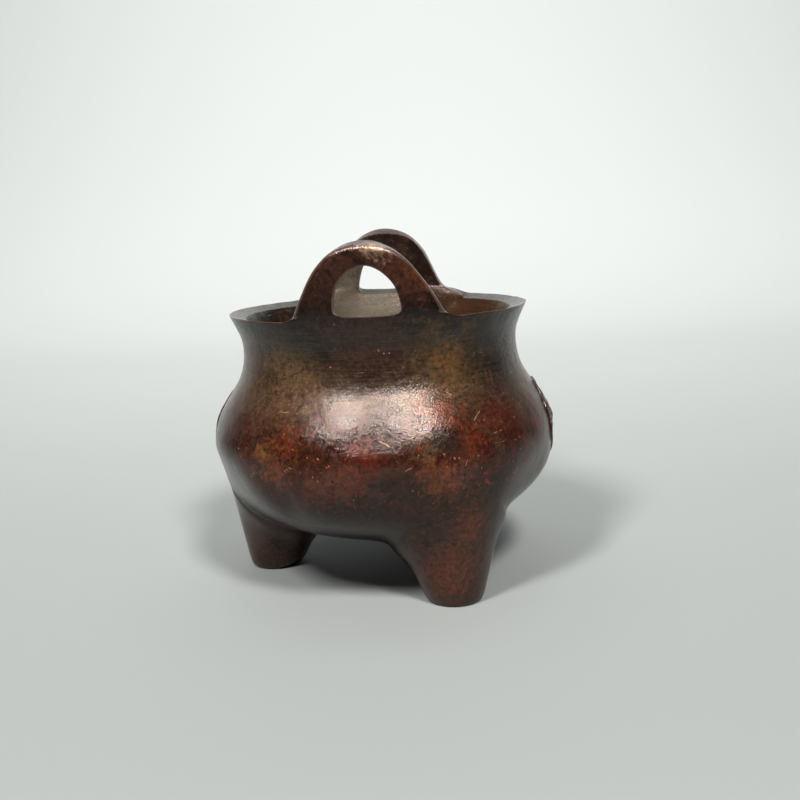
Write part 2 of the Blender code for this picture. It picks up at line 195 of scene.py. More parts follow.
def squeeze_towards_handles(cage):
    """Draw the columns of the neck and lip towards the handles, so that the handles' legs fit them."""
    for (row, column), vert in cage.items():
        above_neck = (vert.co.z - NECK_HEIGHT) / (RIM_HEIGHT - NECK_HEIGHT)
        if above_neck > 0 and row > 0:
            angle = math.tau * column / COLUMNS
            turn = HANDLE_SQUEEZE * math.sin(2 * angle) * min(above_neck, 1.0)
            vert.co = Matrix.Rotation(turn, 3, "Z") @ vert.co


def arch_stations(facing, foot, flank_half_width, crest_sweep, crest_height, top_falls, loop_height):
    """Sections along one handle, from leg to leg: outer edge front and back, loop back and front."""
    flank = Vector((flank_half_width, 0.0, RIM_HEIGHT + FLANK_LIFT))
    crest = Vector((0.0, 0.0, crest_height))
    lean = Vector((FLANK_LEAN[0], 0.0, FLANK_LEAN[1]))
    outline = bezier(flank, lean, Vector((crest_sweep, 0.0, 0.0)), crest, ARCH_SPANS)
    loop_side = Vector((LOOP_SIDE[0], 0.0, RIM_HEIGHT + LOOP_SIDE[1]))
    loop_top = Vector((0.0, 0.0, loop_height))
    loop = bezier(loop_side, Vector((0.0, 0.0, LOOP_SIDE_SWEEP)), Vector((LOOP_TOP_SWEEP, 0.0, 0.0)),
                  loop_top, ARCH_SPANS)
    outline.insert(0, Vector((foot[0], 0.0, RIM_HEIGHT + foot[1])))
    loop.insert(0, Vector((LOOP_FOOT[0], 0.0, RIM_HEIGHT + LOOP_FOOT[1])))
    half = []
    for outer, inner in zip(outline, loop):
        inwards = (inner - outer).normalized()
        front, back = (outer + inwards * abs(inwards.z)**HANDLE_TOP_TURN * fall for fall in top_falls)
        half.append((front, back, inner, inner.copy()))
    mirrored = [[Vector((-point.x, 0.0, point.z)) for point in station] for station in reversed(half[:-1])]
    stations = half + mirrored
    for station in stations:
        for point in station:
            rise = (point.z - RIM_HEIGHT) / (crest_height - RIM_HEIGHT)
            point.x += HANDLE_LEAN * (1 - (1 - rise)**2)
    radii = (RIM_RADIUS, RIM_RADIUS - LIP_WIDTH, RIM_RADIUS - LIP_WIDTH, RIM_RADIUS)
    return [[on_cylinder(point.x, point.z, radius, facing) for point, radius in zip(station, radii)]
            for station in stations]


def raise_handle(bm, cage, facing, sill_lift, spread, spread_lift, *arch_sizes):
    """Draw one handle out of the lip's top; return its edge loops in order from leg to leg."""
    middle = round(facing / math.tau * COLUMNS)

    def lip_points(offset, x, lift):
        """Set the lip's two points in one column, x across the handle and lifted above the lip."""
        front = cage[LIP_ROW, (middle + offset) % COLUMNS]
        back = cage[LIP_ROW + 1, (middle + offset) % COLUMNS]
        front.co = on_cylinder(x, RIM_HEIGHT + lift, RIM_RADIUS, facing)
        back.co = on_cylinder(x, RIM_HEIGHT + lift - LIP_DROP, RIM_RADIUS - LIP_WIDTH, facing)
        return front, back

    foot_in = lip_points(2, spread, spread_lift)
    corner_in = lip_points(1, LOOP_CORNER[0], sill_lift + LOOP_CORNER[1])
    sill = lip_points(0, 0.0, sill_lift)
    corner_out = lip_points(-1, -LOOP_CORNER[0], sill_lift + LOOP_CORNER[1])
    foot_out = lip_points(-2, -spread, spread_lift)

    start = next(face for face in foot_in[0].link_faces
                 if set(face.verts) == set(foot_in + corner_in))
    end = next(face for face in foot_out[0].link_faces
               if set(face.verts) == set(foot_out + corner_out))
    corners = (foot_in[0], foot_in[1], corner_in[1], corner_in[0])
    order = [corners.index(vert) for vert in start.verts]
    loops = [[corner] for corner in corners]
    face = start
    for station in arch_stations(facing, *arch_sizes):
        face = bmesh.ops.extrude_discrete_faces(bm, faces=[face])["faces"][0]
        for vert, corner in zip(face.verts, order):
            vert.co = station[corner]
            loops[corner].append(vert)
    ends = face.edges[:] + end.edges[:]
    bmesh.ops.delete(bm, geom=[face, end], context="FACES_ONLY")
    bmesh.ops.bridge_loops(bm, edges=ends)
    for loop, last in zip(loops, (foot_out[0], foot_out[1], corner_out[1], corner_out[0])):
        loop.append(last)
    loops[2].append(sill[1])
    loops[3].append(sill[0])
    return loops


def square_ring(size):
    """Steps down and across from the middle of a grid, once round a square, outermost point first."""
    side = range(-size, size)
    ring = ([(-size, step) for step in side] + [(step, size) for step in side]
            + [(size, -step) for step in side] + [(-step, -size) for step in side])
    start = ring.index((-size, 0)) if size else 0
    return ring[start:] + ring[:start] or [(0, 0)]


def foot_outline(share, around):
    """A point on a foot's side, as if the foot stood at +X: share 0 on the floor, 1 at its root."""
    reach = FOOT_ROOT_LENGTH / 2
    centre = BELLY_RADIUS - FOOT_ROOT_SETBACK - reach
    plan = Vector((centre + reach * math.cos(around), FOOT_ROOT_HALF_WIDTH * math.sin(around)))
    wall = outer_wall(1, 1, PROFILE_STEPS)[2:]
    height = float(np.interp(plan.length, [point.x for point in reversed(wall)],
                             [point.z for point in reversed(wall)]))
    sole = Vector((FOOT_CIRCLE_RADIUS + SOLE_RADIUS * math.cos(around), SOLE_RADIUS * math.sin(around)))
    inward = (1 - math.cos(around)) / 2
    flare = FOOT_FLARE * (1 - (1 - inward)**4)
    place = sole.lerp(plan, share * (1 - flare) + share**3 * flare).to_3d()
    place.z = (height - FOOT_ROOT_DROP * inward) * share
    return place


def foot_sections(count):
    """The foot's sections from its root to its sole, each a list of points round the foot."""
    rounds = [math.tau * step / count for step in range(count)]
    sections = [[foot_outline(share, around) for around in rounds] for share in (1.0,) + FOOT_RINGS]
    for height, inset in ((SOLE_ROUNDING, 0.0), (0.0, SOLE_ROUNDING)):
        reach = SOLE_RADIUS - inset
        sections.append([Vector((FOOT_CIRCLE_RADIUS + reach * math.cos(around), reach * math.sin(around),
                                 height)) for around in rounds])
    return sections


def draw_out_foot(bm, cage, top_row, angle):
    """Draw one tapering foot down from the underside; return the ring of points round its sole."""
    column = round(angle / math.tau * COLUMNS)
    grid = {}
    for size in range(FOOT_GRID + 1):
        ring = square_ring(size)
        for step, (down, across) in enumerate(ring):
            vert = cage[top_row - FOOT_GRID - down, (column + across) % COLUMNS]
            grid[vert] = (size / FOOT_GRID, step / len(ring))
    patch = list(dict.fromkeys(face for vert, (reach, _) in grid.items() if reach < 1
                               for face in vert.link_faces))
    turn = Matrix.Rotation(angle, 3, "Z")
    sides = 8 * FOOT_GRID
    sections = foot_sections(sides)
    for number, section in enumerate(sections):
        if number:
            roles = {tuple(vert.co): role for vert, role in grid.items()}
            grown = bmesh.ops.extrude_face_region(bm, geom=patch)["geom"]
            bmesh.ops.delete(bm, geom=patch, context="FACES")
            patch = [item for item in grown if isinstance(item, bmesh.types.BMFace)]
            grid = {item: roles[tuple(item.co)] for item in grown if isinstance(item, bmesh.types.BMVert)}
        middle = sum(section, Vector()) / sides
        for vert, (reach, around) in grid.items():
            if number or reach == 1:
                vert.co = turn @ middle.lerp(section[round(around * sides)], reach)
    sole = [(around, vert) for vert, (reach, around) in grid.items() if reach == 1]
    return [vert for around, vert in sorted(sole, key=lambda item: item[0])]


def crease(bm, points, sharpness=1.0, closed=True):
    """Keep the edge loop through these points sharp."""
    layer = bm.edges.layers.float.get("crease_edge") or bm.edges.layers.float.new("crease_edge")
    for pair in zip(points, points[1:] + points[:1] * closed):
        bm.edges.get(pair)[layer] = sharpness


def settle(body):
    """Move the cage until the smooth surface passes through the points that the cage was drawn with."""
    targets = [vert.co.copy() for vert in body.data.vertices]
    for _ in range(SETTLING_ROUNDS):
        surface = body.evaluated_get(bpy.context.evaluated_depsgraph_get()).data
        misses = [target - surface.vertices[index].co for index, target in enumerate(targets)]
        for vert, miss in zip(body.data.vertices, misses):
            vert.co += miss
        body.data.update()
        body.update_tag()
        bpy.context.view_layer.update()


def cast_cage():
    """The whole casting as a cage: bowl, handles and feet, with its sharp edges marked."""
    bm = bmesh.new()
    cage = turned_cage(bm)
    squeeze_towards_handles(cage)
    handles = [raise_handle(bm, cage, *sizes)
               for sizes in zip(HANDLE_FACINGS, LOOP_SILL_LIFTS, HANDLE_SPREADS, HANDLE_SPREAD_LIFTS,
                                FEET_OF_HANDLES, FLANK_HALF_WIDTHS, CREST_SWEEPS,
                                HANDLE_HEIGHTS, HANDLE_TOP_FALLS, LOOP_HEIGHTS)]
    soles = [draw_out_foot(bm, cage, UNDER_ROWS - 1, angle) for angle in FOOT_ANGLES]
    quarter = COLUMNS // 4
    for edge in (0, 1):
        left = [cage[LIP_ROW + edge, column] for column in range(quarter + 3, 3 * quarter - 2)]
        right = [cage[LIP_ROW + edge, column % COLUMNS] for column in range(3 * quarter + 3, 5 * quarter - 2)]
        crease(bm, handles[0][edge][::-1] + left + handles[1][edge][::-1] + right)
    for handle in handles:
        crease(bm, handle[0][1:-1], HANDLE_SHARPNESS, closed=False)
        crease(bm, handle[2])
        crease(bm, handle[3])
    for sole in soles:
        crease(bm, sole)
    mesh = bpy.data.meshes.new("bronze_casting")
    bm.to_mesh(mesh)
    bm.free()
    return mesh


def finished_mesh(body):
    """The body's mesh with its modifiers applied."""
    graph = bpy.context.evaluated_depsgraph_get()
    return bpy.data.meshes.new_from_object(body.evaluated_get(graph))


casting = bpy.data.objects.new("bronze_casting", cast_cage())
bpy.context.scene.collection.objects.link(casting)
cast_form = casting.modifiers.new("cast form", "SUBSURF")
cast_form.levels = SURFACE_LEVELS
cast_form.render_levels = SURFACE_LEVELS
settle(casting)
casting.data = finished_mesh(casting)
casting.modifiers.clear()

worn = bmesh.new()
worn.from_mesh(casting.data)
arrises = [edge for edge in worn.edges
           if edge.calc_face_angle(0.0) > ARRIS_ANGLE and edge.verts[0].co.z > NECK_HEIGHT]
rubbed = []
for edge in worn.edges:
    start, end = (vert.co for vert in edge.verts)
    outside = start.to_2d().length > RIM_RADIUS - LIP_WIDTH / 2 or start.z > RIM_HEIGHT + LOOP_SIDE[1]
    if outside and start.z > NECK_HEIGHT and edge.calc_face_angle(0.0) > RUBBED_ANGLE:
        rubbed.extend(start.lerp(end, share) for share in (0.0, 0.33, 0.67))
bmesh.ops.bevel(worn, geom=arrises, offset=ARRIS_ROUNDING, offset_type="OFFSET", affect="EDGES",
                segments=ARRIS_SEGMENTS, profile=0.5, material=-1, clamp_overlap=True)
worn.to_mesh(casting.data)
worn.free()
casting.data.shade_smooth()


# Medallions
# A lobed medallion stands a little proud of the belly on either side. It was cast with the vessel
# and chased afterwards: a raised border, a sunk ground, and an open flower with leaves.
MEDALLION_FACINGS = (0.0, math.radians(172.5))
MEDALLION_HEIGHT = 0.0415
MEDALLION_RADIUS = 0.0105
MEDALLION_LOBES = 8
MEDALLION_LOBE_DEPTH = 0.0011
MEDALLION_ROOT = 0.0016
MEDALLION_SIDES = 240
MEDALLION_STEP = 0.00022
BORDER_WIDTH = 0.0011
BORDER_RISE = 0.00055
BORDER_SHOULDER = 0.6
BORDER_FALL = 0.6
GROUND_DEPTH = 0.0004
POCKET_DEPTH = 0.0010
POCKET_INSET = 0.0003
POCKET_CLEARANCE = 0.0030
PETALS = 8
OUTER_PETALS = (0.0033, 0.0074, 0.00085)
INNER_PETALS = (0.0014, 0.0042, 0.00105)
PETAL_RIM = 0.30
PETAL_VEIN = 0.16
PETAL_FULLNESS = 1.25
PETAL_EDGE = 0.00030
PETAL_TIP = 0.00035
VEIN_HALF_WIDTH = 0.00022
LEAF_REACH = (0.0058, 0.0083, 0.00060)
BOSS_RADIUS = 0.0016
BOSS_HEIGHT = 0.0012
BOSS_FALL = 0.35
BOSS_EDGE = 0.0002
SEEDS = 7
SEED_RADIUS = 0.00036
SEED_CIRCLE = 0.00095
SEED_RISE = 0.00018
BELLY_CURVE_STEPS = (20, 120, 120)


def on_belly(across, up, rise, facing):
    """A point of a medallion, laid on the curve of the belly and raised off it."""
    height = MEDALLION_HEIGHT + up
    radius, slope = belly_at(height)
    normal = Vector((1.0, 0.0, -slope)).normalized()
    place = Vector((radius, 0.0, height)) + normal * rise
    return Matrix.Rotation(facing + across / BELLY_RADIUS, 3, "Z") @ place


def belly_curve():
    """Radius and slope of the belly's outside by height."""
    curve = outer_wall(*BELLY_CURVE_STEPS)[::-1]
    heights = np.array([point.z for point in curve])
    radii = np.array([point.x for point in curve])
    slopes = np.gradient(radii, heights)
    return lambda height: tuple(float(np.interp(height, heights, values)) for values in (radii, slopes))


def medallion_edge(around):
    """How far the lobed outline lies from the middle, in one direction."""
    lobe = abs(math.sin(MEDALLION_LOBES / 2 * around))
    return MEDALLION_RADIUS - MEDALLION_LOBE_DEPTH * (1 - lobe)


def petal(reach, around, turn, near, far, rise):
    """Height of a ring of petals: hollow, with a raised rim and a vein, pointed at both ends."""
    along = (reach - near) / (far - near)
    if not 0 < along < 1:
        return 0.0
    spread = math.pi / PETALS * min(1.0, PETAL_FULLNESS * math.sin(math.pi * along**0.75)**0.6)
    off = (around - turn + math.pi / PETALS) % (math.tau / PETALS) - math.pi / PETALS
    across = abs(off) / spread
    if across >= 1:
        return 0.0
    hollow = 1 - PETAL_RIM * (1 - across**2) * (1 - abs(2 * along - 1)**3)
    vein = PETAL_VEIN * max(0.0, 1 - abs(off) * reach / VEIN_HALF_WIDTH) * (1 - along)
    edge = min(1.0, (1 - across) * spread * reach / PETAL_EDGE)
    tip = min(1.0, (1 - along) * (far - near) / PETAL_TIP)
    return rise * (hollow + vein) * edge**0.5 * tip**0.5


def relief(reach, around):
    """Height of the chased relief above the belly, by polar place on the medallion."""
    inset = (medallion_edge(around) - reach) / BORDER_WIDTH
    if inset < 1:
        arc = max(0.0, 1 - (2 * inset - 1)**2)**0.5
        crown = BORDER_RISE * (BORDER_SHOULDER + (1 - BORDER_SHOULDER) * arc)
        fall = max(0.0, (inset - BORDER_FALL) / (1 - BORDER_FALL))
        return crown - (crown + GROUND_DEPTH) * fall**2 * (3 - 2 * fall)
    half = math.pi / PETALS
    lifts = [petal(reach, around, 0.0, *OUTER_PETALS), petal(reach, around, half, *INNER_PETALS),
             petal(reach, around, half, *LEAF_REACH)]
    if reach < BOSS_RADIUS:
        rounding = min(1.0, (BOSS_RADIUS - reach) / BOSS_EDGE)**0.5
        dome = BOSS_HEIGHT * (1 - BOSS_FALL * (reach / BOSS_RADIUS)**2) * rounding
        lifts.append(dome)
        seeds = [(0.0, 0.0)] + [(SEED_CIRCLE, math.tau * number / SEEDS) for number in range(SEEDS)]
        for seed_reach, seed_around in seeds:
            gap = math.dist((reach * math.cos(around), reach * math.sin(around)),
                            (seed_reach * math.cos(seed_around), seed_reach * math.sin(seed_around)))
            if gap < SEED_RADIUS:
                lifts.append(dome + SEED_RISE * (1 - (gap / SEED_RADIUS)**2)**0.5)
    return -GROUND_DEPTH + max(lifts)


def lobed_body(name, facing, rings):
    """A closed body of lobed rings, each drawn in by a share of the outline, at heights off the belly."""
    bm = bmesh.new()
    loop = bmesh.ops.create_circle(bm, segments=MEDALLION_SIDES, radius=MEDALLION_RADIUS)["verts"]
    edges = bm.edges[:]
    for number, (share, lift) in enumerate(rings):
        if number:
            grown = bmesh.ops.extrude_edge_only(bm, edges=edges)["geom"]
            loop = [item for item in grown if isinstance(item, bmesh.types.BMVert)]
            edges = [item for item in grown if isinstance(item, bmesh.types.BMEdge)]
        for vert in loop:
            around = math.atan2(vert.co.y, vert.co.x)
            reach = medallion_edge(around) * share
            height = relief(reach, around) if lift is None else lift
            vert.co = Vector((reach * math.cos(around), reach * math.sin(around), height))
    bmesh.ops.contextual_create(bm, geom=edges)
    bmesh.ops.contextual_create(bm, geom=[edge for edge in bm.edges if edge.is_boundary])
    bmesh.ops.poke(bm, faces=[face for face in bm.faces if len(face.verts) > 4])
    for vert in bm.verts:
        vert.co = on_belly(vert.co.x, vert.co.y, vert.co.z, facing)
    bmesh.ops.recalc_face_normals(bm, faces=bm.faces[:])
    mesh = bpy.data.meshes.new(name)
    bm.to_mesh(mesh)
    bm.free()
    mesh.shade_smooth()
    body = bpy.data.objects.new(name, mesh)
    bpy.context.scene.collection.objects.link(body)
    return body


belly_at = belly_curve()
relief_rings = round(MEDALLION_RADIUS / MEDALLION_STEP)
pad = [(1.0, -MEDALLION_ROOT)] + [(1 - number / relief_rings, None) for number in range(relief_rings)]
pocket_share = 1 - POCKET_INSET / MEDALLION_RADIUS
pocket = [(pocket_share, POCKET_CLEARANCE), (pocket_share, -POCKET_DEPTH)]
chasing = []
for facing in MEDALLION_FACINGS:
    chasing.append(("DIFFERENCE", lobed_body("pocket", facing, pocket)))
    chasing.append(("UNION", lobed_body("pad", facing, pad)))
for operation, tool in chasing:
    change = casting.modifiers.new("chasing", "BOOLEAN")
    change.operation = operation
    change.object = tool
casting.data = finished_mesh(casting)
casting.modifiers.clear()
for operation, tool in chasing:
    bpy.data.objects.remove(tool)


# Hand of the casting
# Old lost-wax casting is never quite true: the wall wanders by a tenth of a millimetre or so, and
# the rim and the handles' edges are a little uneven from scraping and from long handling.
WANDER = ((0.00016, 55.0), (0.00005, 170.0))
UNEVEN = 0.00010
UNEVEN_PITCH = 230.0
WANDER_SEED = 1

# How far wear, and on the handles a painted highlight, reaches from a rubbed edge, and how sharply the lining
# ends across the lip
WEAR_AND_HIGHLIGHT_REACH = 0.0030
LINING_SHARPNESS = 1.6


def wandered(point):
    """How far a point of the surface is off its true place."""
    shift = Vector()
    for number, (size, pitch) in enumerate(WANDER):
        shift += size * noise.noise_vector(point * pitch + Vector((number, 0.0, 0.0)))
    lip = max(0.0, min(1.0, (point.z - NECK_HEIGHT) / (RIM_HEIGHT - NECK_HEIGHT)))
    shift += lip * UNEVEN * noise.noise_vector(point * UNEVEN_PITCH)
    return shift * min(1.0, point.z / BASE_HEIGHT)


def medallion_shares(point):
    """How high the relief stands, from a half to 1, and 1 on the sunk ground; both 0 off a medallion."""
    facing = MEDALLION_FACINGS[point.x < 0]
    across = ((math.atan2(point.y, point.x) - facing + math.pi) % math.tau - math.pi) * BELLY_RADIUS
    up = point.z - MEDALLION_HEIGHT
    reach = math.hypot(across, up)
    around = math.atan2(up, across)
    if reach > medallion_edge(around) or point.to_2d().length < belly_at(point.z)[0] - BELLY_WALL / 2:
        return 0.0, 0.0
    height = (relief(reach, around) + GROUND_DEPTH) / BORDER_RISE
    return 0.5 + min(0.5, height / 4), max(0.0, 1 - 2 * height)


def inside_share(point):
    """1 on the bowl's lining and on the handles' inner faces, 0 outside, and between them over the lip."""
    outer = belly_at(min(point.z, RIM_HEIGHT))[0] if point.z > BASE_HEIGHT + BASE_WALL / 2 else 0.0
    return max(0.0, min(1.0, (outer - point.to_2d().length) / LIP_WIDTH * LINING_SHARPNESS - 0.5))


edge_tree = KDTree(len(rubbed))
for number, point in enumerate(rubbed):
    edge_tree.insert(point, number)
edge_tree.balance()

# What the patina needs to know of each point: how near it is to a rubbed edge, how high it stands on a
# medallion, whether it is on a medallion's sunk ground, and whether it is inside
arris = casting.data.attributes.new("arris", "FLOAT", "POINT")
chased = casting.data.attributes.new("chased", "FLOAT", "POINT")
ground = casting.data.attributes.new("ground", "FLOAT", "POINT")
inside = casting.data.attributes.new("inside", "FLOAT", "POINT")
for number, vert in enumerate(casting.data.vertices):
    arris.data[number].value = max(0.0, 1 - edge_tree.find(vert.co)[2] / WEAR_AND_HIGHLIGHT_REACH)
    chased.data[number].value, ground.data[number].value = medallion_shares(vert.co)
    inside.data[number].value = inside_share(vert.co)
noise.seed_set(WANDER_SEED)
for vert in casting.data.vertices:
    vert.co += wandered(vert.co)


# Patina
# Brown patina over bronze, rubbed with wax: olive on the neck and shoulder, a mottled red band with orange
# and gold flecks round the belly, plain dark brown below, and bare metal on the edges. Painted light is laid
# in too: a painted highlight along the handles' edges and on the front handle's crest, painted shade in the
# lining and on the handles' inner faces, and a painted pool of light at the back of the lining.

def seen(red, green, blue):
    """A colour as it is seen, in steps of 255, as the shader's own light."""
    return tuple(((part / 255 + 0.055) / 1.055)**2.4 for part in (red, green, blue)) + (1.0,)


def put(tree, kind, sockets=None, **settings):
    """A node with its settings, and with values or other nodes' outputs in its sockets."""
    made = tree.nodes.new("ShaderNode" + kind)
    for name, value in settings.items():
        setattr(made, name, value)
    for socket, value in (sockets or {}).items():
        if isinstance(value, bpy.types.NodeSocket):
            tree.links.new(value, made.inputs[socket])
        else:
            made.inputs[socket].default_value = value
    return made


def reckon(tree, operation, *numbers, clamp=False):
    """The result of one sum on numbers or sockets."""
    return put(tree, "Math", dict(enumerate(numbers)), operation=operation, use_clamp=clamp).outputs[0]


def over(tree, amount, under, colour, mode="MIX"):
    """One colour laid over another by an amount."""
    return put(tree, "Mix", {0: amount, 6: under, 7: colour}, data_type="RGBA", blend_type=mode).outputs[2]


def step(tree, value, start, end, low=0.0, high=1.0):
    """A smooth step of a value between two limits."""
    limits = {0: value, 1: start, 2: end, 3: low, 4: high}
    return put(tree, "MapRange", limits, interpolation_type="SMOOTHSTEP").outputs[0]


def both(tree, product, *others):
    """Masks and amounts multiplied together."""
    for other in others:
        product = reckon(tree, "MULTIPLY", product, other)
    return product


def nudged(tree, value, texture, amount):
    """A value moved up and down by a texture that runs about a half."""
    return reckon(tree, "MULTIPLY_ADD", reckon(tree, "SUBTRACT", texture, 0.5), amount, value)


def grained(tree, vector, scale, detail, roughness=0.5):
    """A plain grain at one scale, which runs about a half."""
    sockets = {"Vector": vector, "Scale": scale, "Detail": detail, "Roughness": roughness}
    return put(tree, "TexNoise", sockets).outputs[0]


def kept_with(tree, attribute):
    """A value that is kept with the mesh at each point."""
    return put(tree, "Attribute", attribute_name=attribute).outputs["Fac"]


def new_group(name, inputs, outputs):
    """An empty node group with named sockets."""
    group = bpy.data.node_groups.new(name, "ShaderNodeTree")
    for socket, kind in inputs:
        group.interface.new_socket(socket, in_out="INPUT", socket_type="NodeSocket" + kind)
    for socket, kind in outputs:
        group.interface.new_socket(socket, in_out="OUTPUT", socket_type="NodeSocket" + kind)
    return group, group.nodes.new("NodeGroupInput").outputs, group.nodes.new("NodeGroupOutput").inputs


def use(tree, group, **values):
    """A group placed in a material, with its sockets filled."""
    sockets = {name.replace("_", " ").capitalize(): value for name, value in values.items()}
    return put(tree, "Group", sockets, node_tree=group).outputs[0]


# Clouds of colour, as patina blooms in some places and not in others
clouds, given, result = new_group("clouds", (("Vector", "Vector"), ("Scale", "Float"), ("Detail", "Float"),
                                             ("Warp", "Float"), ("Low", "Float"), ("High", "Float")),
                                  (("Mask", "Float"),))
cloud = put(clouds, "TexNoise", {"Vector": given["Vector"], "Scale": given["Scale"],
                                 "Detail": given["Detail"], "Roughness": 0.62, "Distortion": given["Warp"]})
clouds.links.new(step(clouds, cloud.outputs[0], given["Low"], given["High"]), result["Mask"])

# One patch with a ragged edge, where the patina differs at a known place
patch, given, result = new_group("patch", (("Vector", "Vector"), ("Fray", "Float"), ("Centre", "Vector"),
                                           ("Size", "Float")), (("Mask", "Float"),))
gap = put(patch, "VectorMath", {0: given["Vector"], 1: given["Centre"]},
          operation="DISTANCE").outputs["Value"]
wide = reckon(patch, "ADD", given["Fray"], reckon(patch, "DIVIDE", gap, given["Size"]))
patch.links.new(step(patch, wide, 1.10, 0.10), result["Mask"])

# One scratch, crack or bright fleck between two known points
mark, given, result = new_group("mark", (("Vector", "Vector"), ("Start", "Vector"), ("End", "Vector"),
                                         ("Width", "Float")), (("Mask", "Float"),))
run = put(mark, "VectorMath", {0: given["End"], 1: given["Start"]}, operation="SUBTRACT").outputs[0]
gone = put(mark, "VectorMath", {0: given["Vector"], 1: given["Start"]}, operation="SUBTRACT").outputs[0]
ahead = put(mark, "VectorMath", {0: gone, 1: run}, operation="DOT_PRODUCT").outputs["Value"]
whole = put(mark, "VectorMath", {0: run, 1: run}, operation="DOT_PRODUCT").outputs["Value"]
share = reckon(mark, "DIVIDE", ahead, whole, clamp=True)
near = put(mark, "VectorMath", {0: run, "Scale": share}, operation="SCALE").outputs[0]
off = put(mark, "VectorMath", {0: gone, 1: near}, operation="DISTANCE").outputs["Value"]
mark.links.new(step(mark, off, given["Width"], reckon(mark, "MULTIPLY", given["Width"], 0.2)), result["Mask"])

# Flecks: small round specks, crowded where their clouds are
flecks, given, result = new_group("flecks", (("Vector", "Vector"), ("Scale", "Float"), ("Size", "Float"),
                                             ("Amount", "Float"), ("Clouds", "Float")), (("Mask", "Float"),))
cell = put(flecks, "TexVoronoi", {"Vector": given["Vector"], "Scale": given["Scale"], "Randomness": 1.0})
lot = put(flecks, "SeparateColor", {0: cell.outputs["Color"]}).outputs[0]
crowd = put(flecks, "TexNoise", {"Vector": given["Vector"], "Scale": given["Clouds"], "Detail": 3.0})
chance = reckon(flecks, "MULTIPLY", given["Amount"], step(flecks, crowd.outputs[0], 0.40, 0.68))
here = reckon(flecks, "LESS_THAN", lot, chance)
speck = step(flecks, cell.outputs["Distance"], given["Size"], reckon(flecks, "MULTIPLY", given["Size"], 0.5))
flecks.links.new(reckon(flecks, "MULTIPLY", here, speck), result["Mask"])

# Scratches: short fine lines that lie one way, from a stretched pattern
scratches, given, result = new_group("scratches", (("Vector", "Vector"), ("Turn", "Vector"),
                                                   ("Length", "Float"), ("Width", "Float"),
                                                   ("Low", "Float"), ("High", "Float")),
                                     (("Mask", "Float"),))
turned = put(scratches, "VectorRotate", {"Vector": given["Vector"], "Rotation": given["Turn"]},
             rotation_type="EULER_XYZ").outputs[0]
along = reckon(scratches, "DIVIDE", 1.0, given["Length"])
across = reckon(scratches, "DIVIDE", 1.0, given["Width"])
stretch = put(scratches, "CombineXYZ", {0: along, 1: along, 2: across}).outputs[0]
stretched = put(scratches, "VectorMath", {0: turned, 1: stretch}, operation="MULTIPLY").outputs[0]
lines = put(scratches, "TexNoise", {"Vector": stretched, "Scale": 1.0, "Detail": 2.0, "Roughness": 0.5,
                                    "Distortion": 0.15})
scratches.links.new(step(scratches, lines.outputs[0], given["Low"], given["High"]), result["Mask"])

# Colour of the patina up the vessel, from the soles to the handles' crests, and how far it wanders
LEVEL_DRIFT = 0.024
UP_THE_VESSEL = (
    (0.000, seen(54, 34, 25)), (0.010, seen(62, 38, 28)), (0.020, seen(48, 32, 24)),
    (0.029, seen(41, 27, 20)), (0.037, seen(43, 24, 16)), (0.044, seen(47, 24, 16)),
    (0.050, seen(53, 33, 24)), (0.056, seen(70, 51, 36)), (0.062, seen(50, 36, 26)),
    (0.067, seen(26, 20, 15)), (0.0735, seen(18, 13, 10)), (0.077, seen(38, 23, 18)),
    (0.094, seen(66, 40, 32)),
)

# Patches that lie at known places: centre, size, colour and how strongly each shows. The last, pale one on
# the front handle's crest is a painted highlight.
PATINA_PATCHES_AND_HIGHLIGHT = (
    ((-0.0208, -0.0306, 0.0632), 0.0100, seen(92, 73, 48), 0.55),
    ((-0.0178, -0.0334, 0.0578), 0.0090, seen(104, 78, 54), 0.50),
    ((-0.0258, -0.0324, 0.0512), 0.0090, seen(84, 58, 42), 0.50),
    ((-0.0161, -0.0347, 0.0694), 0.0100, seen(26, 23, 22), 0.80),
    ((0.0010, -0.0372, 0.0665), 0.0150, seen(52, 34, 28), 0.70),
    ((0.0180, -0.0324, 0.0618), 0.0110, seen(90, 69, 41), 0.50),
    ((0.0186, -0.0321, 0.0625), 0.0050, seen(112, 74, 38), 0.35),
    ((0.0304, -0.0217, 0.0597), 0.0110, seen(28, 22, 18), 0.90),
    ((0.0167, -0.0384, 0.0505), 0.0075, seen(104, 48, 27), 0.50),
    ((0.0317, -0.0307, 0.0466), 0.0090, seen(72, 30, 19), 0.45),
    ((-0.0278, -0.0364, 0.0418), 0.0026, seen(140, 98, 48), 0.40),
    ((-0.0250, -0.0387, 0.0402), 0.0065, seen(112, 62, 38), 0.45),
    ((-0.0200, -0.0404, 0.0445), 0.0056, seen(104, 46, 24), 0.50),
    ((-0.0062, -0.0455, 0.0369), 0.0060, seen(98, 44, 26), 0.50),
    ((-0.0035, -0.0459, 0.0422), 0.0060, seen(90, 30, 19), 0.55),
    ((-0.0136, -0.0439, 0.0343), 0.0070, seen(86, 43, 30), 0.45),
    ((0.0221, -0.0399, 0.0426), 0.0080, seen(104, 44, 23), 0.50),
    ((0.0175, -0.0418, 0.0437), 0.0058, seen(32, 30, 27), 0.85),
    ((0.0124, -0.0439, 0.0430), 0.0034, seen(90, 78, 56), 0.50),
    ((0.0145, -0.0436, 0.0365), 0.0062, seen(108, 58, 29), 0.45),
    ((0.0174, -0.0423, 0.0346), 0.0056, seen(106, 56, 28), 0.45),
    ((0.0223, -0.0380, 0.0227), 0.0060, seen(98, 48, 27), 0.50),
    ((0.0161, -0.0374, 0.0104), 0.0085, seen(92, 44, 27), 0.50),
    ((0.0114, -0.0383, 0.0840), 0.0055, seen(90, 48, 25), 0.40),
    ((-0.0290, -0.0240, 0.0110), 0.0100, seen(84, 50, 36), 0.50),
    # Painted highlight just below the front handle's crest
    ((0.0025, -0.0396, 0.0914), 0.0040, seen(160, 132, 114), 0.65),
)

